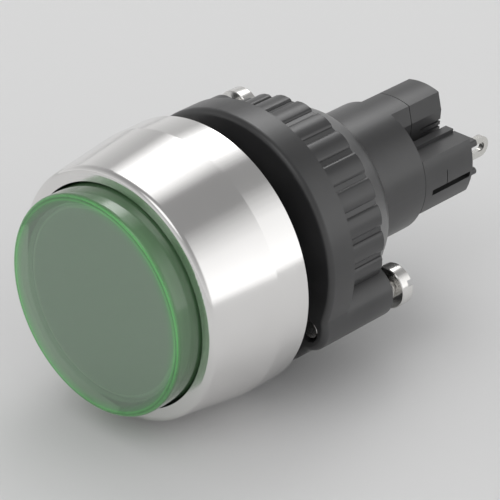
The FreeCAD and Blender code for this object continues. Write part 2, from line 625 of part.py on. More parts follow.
def make_terminal_block():
    """Insert that closes the housing: side bars, the fin's rear part, ledges and latch nubs."""
    body = new_body("terminal_block")
    turn(body, "blank", [
        ("0", PLATE_REAR),
        ("housing_cavity - plug_clearance", PLATE_REAR),
        ("housing_cavity - plug_clearance", "housing_rear"),
        ("housing_radius - joint_chamfer", "housing_rear"),
        ("housing_radius", "housing_rear + joint_chamfer"),
        ("housing_radius", "block_rear + hood_length"),
        ("0", "block_rear + hood_length"),
    ])
    outside = "housing_radius + cutting_margin"

    rear_section = cross_section(body, "rear", "block_rear")
    draw_polygon(rear_section, [
        ("-(%s + cutting_margin)" % outside, "-(%s + cutting_margin)" % outside),
        ("%s + cutting_margin" % outside, "-(%s + cutting_margin)" % outside),
        ("%s + cutting_margin" % outside, "%s + cutting_margin" % outside),
        ("-(%s + cutting_margin)" % outside, "%s + cutting_margin" % outside),
    ])
    hood_top = "bar_top - hood_drop"
    for sign in ("", "-"):
        draw_polygon(rear_section, [
            ("%s(housing_radius - hood_width)" % sign, hood_top),
            ("%s(%s)" % (sign, outside), hood_top),
            ("%s(%s)" % (sign, outside), hood_top + " - hood_height"),
            ("%s(housing_radius - hood_width)" % sign, hood_top + " - hood_height"),
        ])
    hoods = cut_length(body, "rear", rear_section,
                       "block_rear", "block_rear + hood_length + cutting_margin")
    dress(body, "hood_edges", "Fillet", hoods, long_edges(hoods, "housing_radius"), "hood_edge")

    notch_section = cross_section(body, "notches", "housing_rear")
    for sign, fin_side in (("", "fin_right"), ("-", "fin_left")):
        ridge = fin_side + " + ridge_gap"
        draw_polygon(notch_section, [
            ("%s(%s - fin_lean)" % (sign, fin_side), outside),
            ("%s(%s - fin_lean)" % (sign, fin_side), "housing_radius"),
            (sign + fin_side, "fin_crease"),
            ("%s(%s - fin_undercut)" % (sign, fin_side), "bar_top"),
            ("%s(%s - fin_undercut)" % (sign, fin_side), "bar_top - ridge_gap_depth"),
            ("%s(%s)" % (sign, ridge), "bar_top - ridge_gap_depth"),
            ("%s(%s)" % (sign, ridge), "bar_top + ridge_height"),
            ("%s(%s + ridge_width)" % (sign, ridge), "bar_top + ridge_height"),
            ("%s(%s + ridge_width)" % (sign, ridge), "bar_top"),
            ("%s(%s)" % (sign, outside), "bar_top"),
            ("%s(%s)" % (sign, outside), outside),
        ])
    draw_polygon(notch_section, [
        ("-(%s)" % outside, "-bar_bottom"),
        (outside, "-bar_bottom"),
        (outside, "-(%s)" % outside),
        ("-(%s)" % outside, "-(%s)" % outside),
    ])
    cut_length(body, "notches", notch_section, "housing_rear", "block_rear + cutting_margin")

    seam_section = cross_section(body, "seam", "housing_rear")
    draw_polygon(seam_section, [
        ("-(fin_left + cutting_margin / 4)", "bar_top"),
        ("fin_right + cutting_margin / 4", "bar_top"),
        ("fin_right + cutting_margin / 4", outside),
        ("-(fin_left + cutting_margin / 4)", outside),
    ])
    cut_length(body, "seam", seam_section, "housing_rear", "fin_seam + fin_gap")

    slit_section = cross_section(body, "fin_slits", "fin_slit_front")
    for sign, fin_side in (("", "fin_right"), ("-", "fin_left")):
        floor = "%s(%s - fin_undercut - fin_slit_depth)" % (sign, fin_side)
        mouth = "%s(%s + ridge_gap)" % (sign, fin_side)
        for middle in ("fin_slit_height", "fin_slit_height + fin_slit_pitch"):
            draw_polygon(slit_section, [
                (floor, middle + " - fin_slit_width / 2"),
                (mouth, middle + " - fin_slit_width / 2"),
                (mouth, middle + " + fin_slit_width / 2"),
                (floor, middle + " + fin_slit_width / 2"),
            ])
    cut_length(body, "fin_slits", slit_section, "fin_slit_front", "block_rear + cutting_margin")

    side_slot_section = cross_section(body, "side_slots", "side_slot_front")
    for sign in ("", "-"):
        draw_polygon(side_slot_section, [
            ("%s(housing_radius - side_slot_depth)" % sign, "-side_slot_top"),
            ("%s(%s)" % (sign, outside), "-side_slot_top"),
            ("%s(%s)" % (sign, outside), "-(side_slot_top + side_slot_height)"),
            ("%s(housing_radius - side_slot_depth)" % sign,
             "-(side_slot_top + side_slot_height)"),
        ])
    cut_length(body, "side_slots", side_slot_section,
               "side_slot_front", "block_rear - side_slot_margin")

    side_line_section = cross_section(body, "side_lines", "side_line_station")
    for sign in ("", "-"):
        draw_polygon(side_line_section, [
            ("%s(housing_radius - side_line_width)" % sign, "side_line_top"),
            ("%s(%s)" % (sign, outside), "side_line_top"),
            ("%s(%s)" % (sign, outside), "-side_slot_top"),
            ("%s(housing_radius - side_line_width)" % sign, "-side_slot_top"),
        ])
    cut_length(body, "side_lines", side_line_section,
               "side_line_station", "side_line_station + side_line_width")

    latch_section = cross_section(body, "latches", "block_rear - side_slot_margin")
    draw_circle(latch_section, "housing_radius - latch_inset", "-latch_drop", "latch_radius")
    draw_circle(latch_section, "-(housing_radius - latch_inset)", "-latch_drop", "latch_radius")
    add_length(body, "latches", latch_section,
               "block_rear - side_slot_margin", "block_rear + latch_length")

    tab_section = cross_section(body, "tab_slots", PLATE_REAR + " - cutting_margin")
    for sign in ("", "-"):
        draw_polygon(tab_section, [
            ("%s(%s - tab_clearance)" % (sign, TAB_INSIDE), "-(%s)" % TAB_SLOT_HEIGHT),
            ("%s(%s + tab_clearance)" % (sign, TAB_OUTSIDE), "-(%s)" % TAB_SLOT_HEIGHT),
            ("%s(%s + tab_clearance)" % (sign, TAB_OUTSIDE), TAB_SLOT_HEIGHT),
            ("%s(%s - tab_clearance)" % (sign, TAB_INSIDE), TAB_SLOT_HEIGHT),
        ])
    cut_length(body, "tab_slots", tab_section, PLATE_REAR + " - cutting_margin",
               "block_rear + hood_length + cutting_margin")


def make_terminal(label, side, strip_start, foot):
    """Sheet metal terminal: a tab with a rounded end and an oval hole, and a bent foot inside."""
    body = new_body(label)
    face = "%d * %s - tab_thickness / 2" % (side, TAB_PLACE)
    middle = "tab_end - tab_width / 2"
    strip_sketch = new_sketch(body, "strip_outline", "YZ_Plane", face)
    draw_polygon(strip_sketch, [
        (strip_start, "-tab_width / 2"),
        (middle, "-tab_width / 2"),
        (middle, "tab_width / 2"),
        (strip_start, "tab_width / 2"),
    ])
    extrude(body, "strip", strip_sketch, "tab_thickness", flip=False)
    end_sketch = new_sketch(body, "end_outline", "YZ_Plane", face)
    draw_circle(end_sketch, middle, "0", "tab_width / 2")
    extrude(body, "end", end_sketch, "tab_thickness", flip=False)

    foot_section = cross_section(body, "foot", strip_start)
    draw_polygon(foot_section, [
        (foot[0], "-tab_width / 2"),
        (foot[1], "-tab_width / 2"),
        (foot[1], "tab_width / 2"),
        (foot[0], "tab_width / 2"),
    ])
    add_length(body, "foot", foot_section, strip_start, strip_start + " + tab_thickness")

    hole_end = "tab_end - tab_hole_margin - tab_hole_width / 2"
    hole_start = "tab_end - tab_hole_margin - tab_hole_length + tab_hole_width / 2"
    for name, station in (("hole_end", hole_end), ("hole_start", hole_start)):
        round_sketch = new_sketch(body, name + "_outline", "YZ_Plane", face)
        draw_circle(round_sketch, station, "0", "tab_hole_width / 2")
        extrude(body, name, round_sketch, "tab_thickness", cut=True, flip=True)
    slot_sketch = new_sketch(body, "hole_outline", "YZ_Plane", face)
    draw_polygon(slot_sketch, [
        (hole_start, "-tab_hole_width / 2"),
        (hole_end, "-tab_hole_width / 2"),
        (hole_end, "tab_hole_width / 2"),
        (hole_start, "tab_hole_width / 2"),
    ])
    extrude(body, "hole", slot_sketch, "tab_thickness", cut=True, flip=True)


def make_socket_shell():
    """Bayonet sleeve of the lamp socket with two hooked slots."""
    body = new_body("socket_shell")
    turn(body, "tube", [
        (SLEEVE_BORE, "sleeve_front"),
        ("sleeve_radius", "sleeve_front"),
        ("sleeve_radius", "partition_front"),
        (SLEEVE_BORE, "partition_front"),
    ])
    half = "bayonet_slot_width / 2"
    seat_front = "pin_station - bayonet_slot_width / 2"
    channel_front = "pin_station + lamp_push - bayonet_slot_width / 2"
    channel_rear = "pin_station + lamp_push + bayonet_slot_width / 2"
    hook_sketch = new_sketch(body, "hook_outline", "XY_Plane")
    draw_polygon(hook_sketch, [
        (half, seat_front),
        (half, channel_rear),
        ("-(bayonet_slot_shift + %s)" % half, channel_rear),
        ("-(bayonet_slot_shift + %s)" % half, "sleeve_front - cutting_margin"),
        ("-(bayonet_slot_shift - %s)" % half, "sleeve_front - cutting_margin"),
        ("-(bayonet_slot_shift - %s)" % half, channel_front),
        ("-(%s)" % half, channel_front),
        ("-(%s)" % half, seat_front),
    ])
    hook = extrude(body, "hook", hook_sketch, "sleeve_radius + cutting_margin",
                   cut=True, flip=True)
    repeat_round(body, "hooks", hook, 2)


def make_lamp():
    """Small bayonet lamp: bulb, cap with two pins, insulator and centre contact."""
    glass = new_body("lamp_glass")
    bulb = turn(glass, "bulb", [
        ("0", "-glass_front"),
        ("glass_radius", "-glass_front"),
        ("glass_radius", "glass_shoulder"),
        (CAP_RADIUS + " - cap_wall - glass_clearance", "cap_front"),
        (CAP_RADIUS + " - cap_wall - glass_clearance", "glass_neck_end"),
        ("0", "glass_neck_end"),
    ])
    dress(glass, "dome", "Fillet", bulb,
          rims(bulb, [("glass_radius", "-glass_front")]), "glass_radius * 0.98")

    cap = new_body("lamp_cap")
    turn(cap, "cup", [
        (CAP_RADIUS + " - cap_wall", "cap_front"),
        (CAP_RADIUS, "cap_front"),
        (CAP_RADIUS, "cap_rear"),
        ("insulator_radius", "cap_rear"),
        ("insulator_radius", "cap_rear - cap_wall"),
        (CAP_RADIUS + " - cap_wall", "cap_rear - cap_wall"),
    ])
    pin_start = CAP_RADIUS + " - cap_wall"
    pin_sketch = new_sketch(cap, "pin_outline", "XY_Plane", pin_start)
    draw_circle(pin_sketch, "0", "pin_station", "pin_radius")
    pin = extrude(cap, "pin", pin_sketch, "pin_reach - (%s)" % pin_start, flip=False)
    repeat_round(cap, "pins", pin, 2)

    insulator = new_body("lamp_insulator")
    turn(insulator, "cone", [
        ("0", "cap_rear - cap_wall"),
        ("insulator_radius", "cap_rear - cap_wall"),
        ("insulator_radius", "cap_rear"),
        ("lamp_contact_radius", "insulator_end"),
        ("0", "insulator_end"),
    ])

    contact = new_body("lamp_contact")
    turn(contact, "pip", [
        ("0", "insulator_end"),
        ("lamp_contact_radius", "insulator_end"),
        ("lamp_contact_radius * 0.7", "lamp_contact_end"),
        ("0", "lamp_contact_end"),
    ])


def make_contact_plunger():
    """Brass plunger that the contact spring presses on the lamp."""
    body = new_body("contact_plunger")
    turn(body, "stem", [
        ("0", "lamp_contact_end"),
        ("plunger_radius", "lamp_contact_end"),
        ("plunger_radius", PLUNGER_FLANGE_FRONT),
        ("plunger_flange_radius", PLUNGER_FLANGE_FRONT),
        ("plunger_flange_radius", PLUNGER_FLANGE_REAR),
        ("0", PLUNGER_FLANGE_REAR),
    ])


def make_contact_spring():
    """Coil spring between the plunger's flange and the right terminal's plate."""
    body = new_body("contact_spring")
    wire_sketch = new_sketch(body, "wire_section", "XY_Plane")
    draw_circle(wire_sketch, "spring_radius",
                PLUNGER_FLANGE_REAR + " + spring_wire / 2", "spring_wire / 2")
    coil = body.newObject("PartDesign::AdditiveHelix", "contact_spring_coil")
    coil.Profile = wire_sketch
    coil.ReferenceAxis = (wire_sketch, ["V_Axis"])
    coil.Mode = "height-turns-angle"
    free_height = "spring_plate_station - (%s) - spring_wire" % PLUNGER_FLANGE_REAR
    coil.setExpression("Height", bound(free_height))
    coil.setExpression("Turns", bound("spring_turns"))
    document.recompute()


def check_and_export():
    """Stop on any failed object, then write each piece to its own file."""
    document.recompute()
    for item in document.Objects:
        if "Invalid" in item.State or "Error" in item.State:
            raise RuntimeError("failed object: " + item.Label)
    os.makedirs("parts", exist_ok=True)
    for piece in PIECES:
        if piece.Shape.isNull() or not piece.Shape.isValid():
            raise RuntimeError("bad solid: " + piece.Label)
        piece.Shape.exportStep("parts/" + piece.Label + ".step")
        print(piece.Label, "solids", len(piece.Shape.Solids), "mm3", round(piece.Shape.Volume, 2))


make_bezel()
make_panel_seal()
make_barrel()
make_lens()
make_diffuser()
make_lens_seal()
make_fixing_nut()
make_clamp_screw("clamp_screw_lower", 1)
make_clamp_screw("clamp_screw_upper", -1)
make_socket_housing()
make_terminal_block()
make_terminal("terminal_right", 1, "spring_plate_station",
              ("-spring_plate_reach", TAB_OUTSIDE))
make_terminal("terminal_left", -1, "foot_station",
              ("-" + TAB_OUTSIDE, "-sleeve_radius"))
make_socket_shell()
make_lamp()
make_contact_plunger()
make_contact_spring()
check_and_export()
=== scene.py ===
import bmesh
import bpy
import json
import math
from mathutils import Matrix, Vector


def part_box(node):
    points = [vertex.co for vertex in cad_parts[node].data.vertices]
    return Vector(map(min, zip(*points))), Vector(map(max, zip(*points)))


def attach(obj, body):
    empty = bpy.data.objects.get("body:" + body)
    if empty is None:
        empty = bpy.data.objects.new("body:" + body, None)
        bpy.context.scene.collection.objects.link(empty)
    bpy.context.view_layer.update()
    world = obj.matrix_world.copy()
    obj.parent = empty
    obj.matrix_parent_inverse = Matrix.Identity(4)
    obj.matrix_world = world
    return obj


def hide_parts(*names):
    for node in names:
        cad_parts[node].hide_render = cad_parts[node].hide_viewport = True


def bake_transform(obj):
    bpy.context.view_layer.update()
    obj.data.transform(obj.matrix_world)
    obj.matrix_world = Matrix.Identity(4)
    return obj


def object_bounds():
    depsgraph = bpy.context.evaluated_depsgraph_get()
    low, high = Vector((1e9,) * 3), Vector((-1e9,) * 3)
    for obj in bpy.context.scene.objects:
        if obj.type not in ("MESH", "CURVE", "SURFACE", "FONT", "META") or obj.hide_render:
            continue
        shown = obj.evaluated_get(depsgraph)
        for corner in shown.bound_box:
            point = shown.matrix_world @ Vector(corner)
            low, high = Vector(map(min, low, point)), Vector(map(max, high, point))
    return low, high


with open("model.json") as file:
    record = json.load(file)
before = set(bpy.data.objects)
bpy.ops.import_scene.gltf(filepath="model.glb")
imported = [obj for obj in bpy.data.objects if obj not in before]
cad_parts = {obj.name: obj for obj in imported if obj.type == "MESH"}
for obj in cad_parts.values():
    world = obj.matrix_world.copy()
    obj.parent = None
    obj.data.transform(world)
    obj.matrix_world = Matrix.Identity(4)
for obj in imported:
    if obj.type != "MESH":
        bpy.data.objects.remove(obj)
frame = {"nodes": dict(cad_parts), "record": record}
cad_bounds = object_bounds()

# Panel pilot light. The axis is Y, the lens faces -Y and Z is up. A station is a place along the axis.

# The photo's camera: lens and sensor in millimetres, place and clipping in metres
LENS_MM = 221.75
SENSOR_MM = 36.0
CAMERA_PLACE = (0.23041, -0.23217, 0.18212)
CAMERA_TURN_DEG = (60.93, 0.0, 43.78)
CAMERA_CLIP = (0.01, 20.0)

# The backdrop's greys by height, where 0.5 is level and 1 is straight up, and the grey of the even light
BACKDROP_GREYS = ((0.50, 0.78), (0.57, 0.70), (0.70, 0.52), (0.88, 0.31), (1.00, 0.31))
FILL_GREY = 0.70

# The floor: half its side in metres, its grey and how far that varies
FLOOR_HALF = 3.0
FLOOR_GREY = 0.70
FLOOR_MOTTLE = 0.01

# Soft lights: name, azimuth and elevation in degrees, distance, width and height in metres, brightness
SOFTBOXES = (
    ("soft_right", 128, 16, 0.60, 0.94, 0.81, 0.48),
    ("soft_left", -140, 54, 0.60, 0.54, 0.58, 0.95),
    ("soft_front", 10, 52, 0.60, 0.50, 0.46, 0.80),
    ("glint_left", -148, 44, 0.58, 0.32, 0.18, 2.3),
)

# The nested ovals of a soft light, as shares of its size, and the gap between them in metres
SOFTBOX_SCALES = (1.0, 0.87, 0.74, 0.61, 0.48)
SOFTBOX_GAP = 0.001

# An oval lamp of this many watts a square metre is as bright as a backdrop of strength 1
LAMP_WATTS = 4.0

# The scene is in metres, and the sizes and stations below, of the pieces, are in millimetres
MM = 0.001


def ends_of(node):
    """Give the front and rear station of a CAD node in millimetres, to the micrometre."""
    return [round(corner.y / MM, 3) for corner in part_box(node)]


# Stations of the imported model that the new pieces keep
COLLAR_FRONT, BARREL_END = ends_of("barrel")
NUT_FRONT = ends_of("fixing_nut")[0]
SCREW_TIP, HEAD_REAR = ends_of("clamp_screw_lower")
PLUNGER_REAR = ends_of("contact_plunger")[1]
CONTACT_PLATE = ends_of("terminal_right")[0]

# The barrel, with its collar, the lens seal's groove in it, and its flange
BARREL_BORE = 9.0
BARREL_EDGE = 0.3
BARREL_CHAMFER = 0.9
BARREL_COLUMNS = 144
BARREL_SHARP_DEG = 40
COLLAR_LENGTH = 4.0
COLLAR_RADIUS = 12.3
SEAL_SETBACK = 1.8
SEAL_GROOVE_HALF = 0.9
SEAL_GROOVE_RADIUS = 11.1
FLANGE_FRONT = COLLAR_FRONT + COLLAR_LENGTH
FLANGE_THICKNESS = 2.0
FLANGE_RADIUS = 14.32

# The barrel's thread
THREAD_RADIUS = 11.0
THREAD_START = 0.1
THREAD_PITCH = 1.5
THREAD_DEPTH = 0.92
THREAD_STEP = 0.1

# Shares of a thread's pitch that its flat crest and its flat root take up
CREST_SHARE = 1 / 8
ROOT_SHARE = 1 / 4

# The nut
NUT_RADIUS = 16.8
NUT_FLANGE = 4.17
NUT_STEP = 2.0
NUT_TOLERANCE = 0.01
NUT_MERGE = 0.001
NUT_SHARP_DEG = 28
LAND_RADIUS = NUT_RADIUS - NUT_STEP
LAND_FRONT = NUT_FRONT + NUT_FLANGE
LAND_REAR = 16.5
LAND_CROWN = 0.26
GROOVE_COUNT = 26
GROOVE_WIDTH = 0.7
GROOVE_DEPTH = 0.45
GROOVE_ANGLE_DEG = 2.15
LUG_ANGLE_DEG = 30.5
LUG_RADIUS = 3.63
LUG_REACH = 1.08
LUG_CIRCLE = NUT_RADIUS + LUG_REACH - LUG_RADIUS

# The clamp screws
SCREW_INSET = 1.6
SCREW_CIRCLE = NUT_RADIUS - SCREW_INSET
SCREW_RADIUS = 1.5
SCREW_POINT = 0.4
SCREW_PITCH = 0.5
SCREW_DEPTH = 0.3
SCREW_STEP = 0.05
SCREW_COLUMNS = 48
SCREW_SHARP_DEG = 35
HEAD_RADIUS = 2.75
HEAD_HEIGHT = 2.0
HEAD_FRONT = HEAD_REAR - HEAD_HEIGHT
HEAD_CHAMFER = 0.1
HEAD_EDGE = 0.25
HEAD_EDGE_STEPS = 6
SLOT_WIDTH = 0.8
SLOT_DEPTH = 0.9
SLOT_ANGLE_DEG = 24.0
SLOT_CUTTER_HALF = 4.0
SLOT_CUTTER_MARGIN = 1.0

# The contact spring, which stands between the plunger and the contact plate
SPRING_RADIUS = 1.7
SPRING_WIRE_RADIUS = 0.2
SPRING_TURNS = 3
SPRING_STEPS = 32
SPRING_SIDES = 12

# The lamp's filament, bead and leads. A lead's points are distances from the axis with stations
FILAMENT_HALF = 1.55
FILAMENT_STATION = -3.6
FILAMENT_SAG = 0.5
FILAMENT_RADIUS = 0.24
FILAMENT_WIRE_RADIUS = 0.07
FILAMENT_TURNS = 14
FILAMENT_STEPS = 16
FILAMENT_SIDES = 6
BEAD_HALF = 1.25
BEAD_STATION = 1.1
BEAD_RADIUS = 0.45
BEAD_SIDES = 16
LEAD_WIRE_RADIUS = 0.16
LEAD_SIDES = 10
LEAD_POINTS = (
    (0.7, 4.6), (0.7, 2.5), (0.9, 0.5), (1.5, -1.6), (1.7, -3.2),
    (FILAMENT_HALF, FILAMENT_STATION),
)

# The lens's colours by radius: the flat front, two rings of painted highlight with a ring of painted
# shade between, which stand in for the light that the rim refracts, and the wall
RIM_PAINTED_HIGHLIGHT = (0.27, 0.92, 0.29)
RIM_PAINTED_SHADE = (0.12, 0.38, 0.13)
LENS_GREENS_AND_PAINTED_RINGS = (
    (12.40, (0.36, 0.485, 0.37)),
    (13.30, (0.28, 0.59, 0.30)),
    (13.42, RIM_PAINTED_HIGHLIGHT),
    (13.56, RIM_PAINTED_HIGHLIGHT),
    (13.63, RIM_PAINTED_SHADE),
    (13.71, RIM_PAINTED_SHADE),
    (13.80, RIM_PAINTED_HIGHLIGHT),
    (13.96, RIM_PAINTED_HIGHLIGHT),
    (14.12, (0.22, 0.40, 0.215)),
)

# The diffuser's greys by radius, whose white ring near the rim is a painted highlight for the arcs that
# the lens refracts, and the station behind which it has the first of them all over
DIFFUSER_GREYS_AND_PAINTED_ARC = (
    (11.10, 0.42), (11.40, 0.50), (11.80, 0.50), (11.90, 1.00), (12.15, 1.00), (12.25, 0.45),
)
DIFFUSER_RIM_END = -15.9
DIFFUSER_MOTTLE = 0.04

# The radius at which the ramps of these colours and greys end
RAMP_END = 20.0

# Plated and bare metals: darker and lighter colour, lowest and highest roughness
METALS = {
    "plated_steel": ((0.76, 0.75, 0.73), (0.80, 0.79, 0.77), 0.16, 0.22),
    "tinned_brass": ((0.66, 0.65, 0.62), (0.72, 0.71, 0.68), 0.20, 0.28),
    "brass": ((0.72, 0.52, 0.22), (0.82, 0.62, 0.30), 0.22, 0.34),
    "lamp_metal": ((0.66, 0.64, 0.60), (0.78, 0.76, 0.72), 0.24, 0.34),
    "spring_steel": ((0.55, 0.55, 0.55), (0.68, 0.68, 0.68), 0.25, 0.36),
}

# Values of a noise between which a material changes from its low to its high colour or roughness
NOISE_LOW = 0.3
NOISE_HIGH = 0.7

# What a radian round the axis counts as in ringed noise, in metres
RING_REACH = 0.0002


def add_camera():
    """Put the camera where the photo was taken from."""
    data = bpy.data.cameras.new("camera")
    data.lens = LENS_MM
    data.sensor_width = SENSOR_MM
    data.sensor_fit = "HORIZONTAL"
    data.clip_start, data.clip_end = CAMERA_CLIP
    camera = bpy.data.objects.new("camera", data)
    camera.location = CAMERA_PLACE
    camera.rotation_euler = [math.radians(angle) for angle in CAMERA_TURN_DEG]
    bpy.context.collection.objects.link(camera)
    bpy.context.scene.camera = camera


def light_from(azimuth_deg, elevation_deg, distance):
    """Give the place that lies in a direction from the origin: azimuth 0 is -Y and 90 is +X."""
    azimuth = math.radians(azimuth_deg)
    elevation = math.radians(elevation_deg)
    return (
        distance * math.cos(elevation) * math.sin(azimuth),
        -distance * math.cos(elevation) * math.cos(azimuth),
        distance * math.sin(elevation),
    )


def add_softbox(name, azimuth, elevation, distance, width, height, brightness):
    """Hang nested oval soft lights that face the origin, so the light fades at its edge."""
    for layer, scale in enumerate(SOFTBOX_SCALES):
        data = bpy.data.lights.new("%s_%d" % (name, layer), "AREA")
        data.shape = "ELLIPSE"
        data.size = width * scale
        data.size_y = height * scale
        area = math.pi * data.size * data.size_y / 4
        data.energy = LAMP_WATTS * area * brightness / len(SOFTBOX_SCALES)
        lamp = bpy.data.objects.new(data.name, data)
        lamp.location = light_from(azimuth, elevation, distance - SOFTBOX_GAP * layer)
        lamp.rotation_euler = (math.radians(90 - elevation), 0.0, math.radians(azimuth))
        lamp.visible_camera = False
        bpy.context.collection.objects.link(lamp)


def set_stops(ramp, stops):
    """Give a colour ramp its stops, each a place and a grey or a colour."""
    elements = ramp.color_ramp.elements
    while len(elements) < len(stops):
        elements.new(1.0)
    for element, (place, amount) in zip(elements, stops):
        if isinstance(amount, (int, float)):
            amount = (amount, amount, amount)
        element.position = place
        element.color = (*amount, 1.0)


def backdrop(tree):
    """Make a world shader whose grey goes by height."""
    direction = tree.nodes.new("ShaderNodeTexCoord").outputs["Generated"]
    split = tree.nodes.new("ShaderNodeSeparateXYZ")
    tree.links.new(direction, split.inputs[0])
    # A direction's upward part goes from -1 to 1, and the ramp from 0 to 1
    height = tree.nodes.new("ShaderNodeMath")
    height.operation = "MULTIPLY_ADD"
    height.inputs[1].default_value = 0.5
    height.inputs[2].default_value = 0.5
    tree.links.new(split.outputs[2], height.inputs[0])
    ramp = tree.nodes.new("ShaderNodeValToRGB")
    set_stops(ramp, BACKDROP_GREYS)
    tree.links.new(height.outputs[0], ramp.inputs[0])
    shader = tree.nodes.new("ShaderNodeBackground")
    tree.links.new(ramp.outputs[0], shader.inputs["Color"])
    return shader.outputs[0]


def seen_share(tree):
    """Give 1 for rays from the eye, metal and glass, and 0 for the light that falls on the object."""
    path = tree.nodes.new("ShaderNodeLightPath")
    share = path.outputs["Is Camera Ray"]
    for kind in ("Is Glossy Ray", "Is Transmission Ray"):
        either = tree.nodes.new("ShaderNodeMath")
        either.operation = "MAXIMUM"
        tree.links.new(share, either.inputs[0])
        tree.links.new(path.outputs[kind], either.inputs[1])
        share = either.outputs[0]
    return share


def add_world():
    """Light the scene evenly, and show a backdrop, pale low down, to the eye, metal and glass."""
    world = bpy.data.worlds.new("studio")
    world.use_nodes = True
    bpy.context.scene.world = world
    tree = world.node_tree
    tree.nodes.clear()
    fill = tree.nodes.new("ShaderNodeBackground")
    fill.inputs["Color"].default_value = (FILL_GREY, FILL_GREY, FILL_GREY, 1.0)
    mix = tree.nodes.new("ShaderNodeMixShader")
    tree.links.new(seen_share(tree), mix.inputs[0])
    tree.links.new(fill.outputs[0], mix.inputs[1])
    tree.links.new(backdrop(tree), mix.inputs[2])
    output = tree.nodes.new("ShaderNodeOutputWorld")
    tree.links.new(mix.outputs[0], output.inputs["Surface"])


class Finish:
    """A node material with one Principled shader and helpers for what drives it.

    The shader's sockets are given by name, with an underscore for a space.
    """

    def __init__(self, name, **sockets):
        self.material = bpy.data.materials.new(name)
        self.material.use_nodes = True
        self.tree = self.material.node_tree
        self.tree.nodes.clear()
        self.output = self.node("ShaderNodeOutputMaterial")
        self.shader = self.node("ShaderNodeBsdfPrincipled")
        self.link(self.shader.outputs[0], self.output.inputs["Surface"])
        for socket, amount in sockets.items():
            self.shader.inputs[socket.replace("_", " ")].default_value = amount
        self.place = self.node("ShaderNodeTexCoord").outputs["Object"]

    def node(self, kind, **settings):
        """Add a node with its settings."""
        made = self.tree.nodes.new(kind)
        for key, amount in settings.items():
            setattr(made, key, amount)
        return made

    def link(self, start, end):
        """Join an output to an input."""
        self.tree.links.new(start, end)

    def math(self, operation, first, second=None):
        """Calculate with one or two amounts, each a number or an output."""
        step = self.node("ShaderNodeMath", operation=operation)
        for socket, amount in zip(step.inputs, (first, second)):
            if amount is None:
                continue
            if isinstance(amount, (int, float)):
                socket.default_value = amount
            else:
                self.link(amount, socket)
        return step.outputs[0]

    def noise(self, scale, detail=4.0, roughness=0.55, where=None):
        """Make noise whose scale is in cells a metre."""
        texture = self.node("ShaderNodeTexNoise")
        texture.inputs["Scale"].default_value = scale
        texture.inputs["Detail"].default_value = detail
        texture.inputs["Roughness"].default_value = roughness
        self.link(where or self.place, texture.inputs["Vector"])
        return texture.outputs["Fac"]

    def coordinates(self):
        """Give X, Y and Z apart."""
        split = self.node("ShaderNodeSeparateXYZ")
        self.link(self.place, split.inputs[0])
        return split.outputs

    def radius(self):
        """Give the distance from the light's axis."""
        x, _, z = self.coordinates()
        square_x = self.math("MULTIPLY", x, x)
        square_z = self.math("MULTIPLY", z, z)
        return self.math("SQRT", self.math("ADD", square_x, square_z))

    def ringed(self):
        """Give a place vector whose noise runs in rings round the light's axis."""
        x, station, z = self.coordinates()
        angle = self.math("ARCTAN2", z, x)
        join = self.node("ShaderNodeCombineXYZ")
        self.link(self.radius(), join.inputs[0])
        self.link(station, join.inputs[1])
        self.link(self.math("MULTIPLY", angle, RING_REACH), join.inputs[2])
        return join.outputs[0]

    def stops(self, driver, stops):
        """Turn a driver into a colour or a grey between any number of stops."""
        step = self.node("ShaderNodeValToRGB")
        set_stops(step, stops)
        self.link(driver, step.inputs[0])
        return step.outputs[0]

    def ramp(self, noise, low, high):
        """Turn a noise into a colour or a grey between two."""
        return self.stops(noise, ((NOISE_LOW, low), (NOISE_HIGH, high)))

    def by_radius(self, radius, amounts):
        """Turn a radius into a colour or a grey, from stops whose places are in millimetres."""
        across = self.math("DIVIDE", radius, RAMP_END * MM)
        return self.stops(across, [(place / RAMP_END, amount) for place, amount in amounts])

    def drive(self, socket, output):
        """Let an output drive one of the shader's sockets."""
        self.link(output, self.shader.inputs[socket])

    def bump(self, driver, strength, distance):
        """Roughen the surface by a driver, over a distance in metres."""
        step = self.node("ShaderNodeBump")
        step.inputs["Strength"].default_value = strength
        step.inputs["Distance"].default_value = distance
        self.link(driver, step.inputs["Height"])
        self.link(step.outputs[0], self.shader.inputs["Normal"])

    def let_lamps_through(self, tint):
        """Let lamp light pass this glass, so that what lies behind it is lit."""
        clear = self.node("ShaderNodeBsdfTransparent")
        clear.inputs["Color"].default_value = (*tint, 1.0)
        path = self.node("ShaderNodeLightPath")
        mix = self.node("ShaderNodeMixShader")
        self.link(path.outputs["Is Shadow Ray"], mix.inputs[0])
        self.link(self.shader.outputs[0], mix.inputs[1])
        self.link(clear.outputs[0], mix.inputs[2])
        self.link(mix.outputs[0], self.output.inputs["Surface"])


def bezel_metal():
    """Turned metal, with fine rings round the axis."""
    finish = Finish("bezel_metal", Metallic=1.0)
    rings = finish.noise(9000.0, detail=3.0, roughness=0.6, where=finish.ringed())
    cloud = finish.noise(90.0, detail=2.0)
    finish.drive("Base Color", finish.ramp(cloud, (0.80, 0.79, 0.78), (0.84, 0.83, 0.82)))
    finish.drive("Roughness", finish.ramp(rings, 0.12, 0.17))
    finish.bump(rings, strength=0.012, distance=0.00001)
    return finish.material


def green_lens():
    """Clear green plastic: greyish over the flat front, with painted highlight rings and a painted dark
    ring at the rim, deeper in the wall.
    """
    finish = Finish("green_lens", Transmission_Weight=0.65, IOR=1.08,
                    Coat_Weight=1.0, Coat_Roughness=0.10, Coat_IOR=1.65)
    # The colour by radius paints the rim's refracted highlights and the dark line between them
    finish.drive("Base Color", finish.by_radius(finish.radius(), LENS_GREENS_AND_PAINTED_RINGS))
    finish.drive("Roughness", finish.ramp(finish.noise(2500.0), 0.02, 0.05))
    finish.let_lamps_through(tint=(0.42, 0.58, 0.43))
    return finish.material


